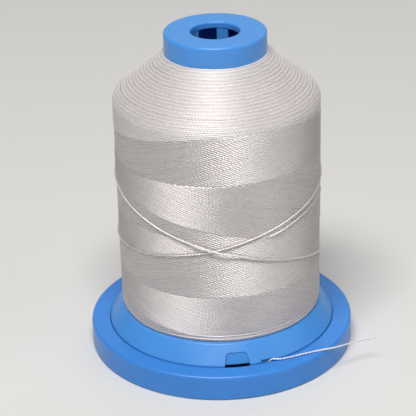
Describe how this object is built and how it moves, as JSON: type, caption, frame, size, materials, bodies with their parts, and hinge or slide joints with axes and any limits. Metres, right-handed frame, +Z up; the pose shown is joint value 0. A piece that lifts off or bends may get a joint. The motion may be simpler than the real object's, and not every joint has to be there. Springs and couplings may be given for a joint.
{
  "type": "snap thread spool",
  "caption": "Moulded spool wound with fine filament thread, with a conical flange and a snap foot that pops open to pinch the thread end.",
  "frame": {"origin": "on the spool's axis, at the underside that it stands on", "axes": "+Z up along the spool's axis; the flange's front notch and the thread's free end are on the -Y side"},
  "size_m": [0.0485, 0.045, 0.0562],
  "materials": {
    "foot_plastic": "satin moulded",
    "core_plastic": "satin moulded",
    "thread": "pearl white lustrous filament"
  },
  "bodies": {
    "foot": {"snap_base": "foot_plastic"},
    "spool": {"spool_core": "core_plastic", "thread_package": "thread", "crossing_turn": "thread", "thread_tail": "thread"}
  },
  "joints": [
    {"name": "base_snap", "type": "slide", "parent": "foot", "child": "spool", "axis": [0, 0, 1], "range_m": [0, 0.003]}
  ]
}
